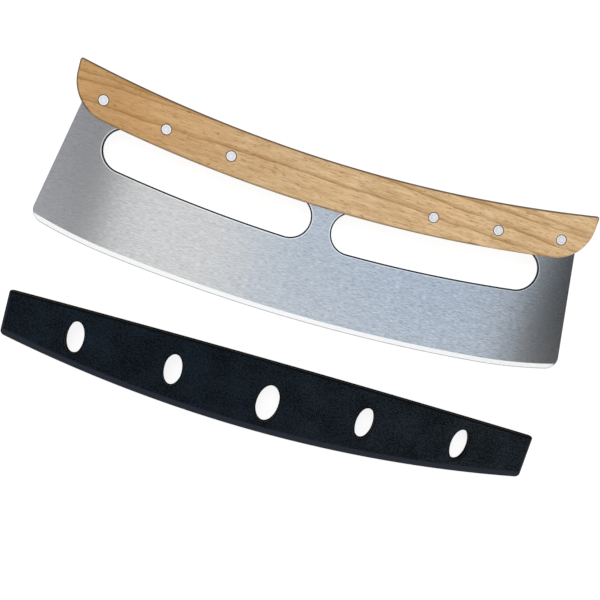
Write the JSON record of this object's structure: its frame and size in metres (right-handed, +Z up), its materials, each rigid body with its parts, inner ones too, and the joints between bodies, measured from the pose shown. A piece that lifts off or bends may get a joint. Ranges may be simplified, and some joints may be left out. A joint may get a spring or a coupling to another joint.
{
  "type": "rocking pizza cutter",
  "caption": "Wide curved blade with hand slots under a riveted wooden handle, and the black edge guard that slides onto it, shown pulled off.",
  "frame": {"origin": "middle of the rear scale's outer face, half way along the handle", "axes": "+X along the handle, +Y from the cutting edge towards the handle, +Z up from the surface that the rear scale lies on"},
  "size_m": [0.359, 0.1998, 0.0185],
  "materials": {
    "blade_steel": "brushed lengthwise",
    "handle_wood": "oiled pale hardwood, satin",
    "rivet_metal": "polished",
    "guard_plastic": "fine moulded texture"
  },
  "bodies": {
    "cutter": {"blade": "blade_steel", "front_scale": "handle_wood", "rear_scale": "handle_wood", "rivet_pin_1": "rivet_metal", "rivet_tube_1": "rivet_metal", "rivet_pin_2": "rivet_metal", "rivet_tube_2": "rivet_metal", "rivet_pin_3": "rivet_metal", "rivet_tube_3": "rivet_metal", "rivet_pin_4": "rivet_metal", "rivet_tube_4": "rivet_metal", "rivet_pin_5": "rivet_metal", "rivet_tube_5": "rivet_metal", "rivet_pin_6": "rivet_metal", "rivet_tube_6": "rivet_metal"},
    "guard": {"blade_guard": "guard_plastic"}
  },
  "joints": [
    {"name": "guard_slide", "type": "slide", "parent": "cutter", "child": "guard", "axis": [0, 1, 0], "range_m": [0, 0.0739]}
  ]
}
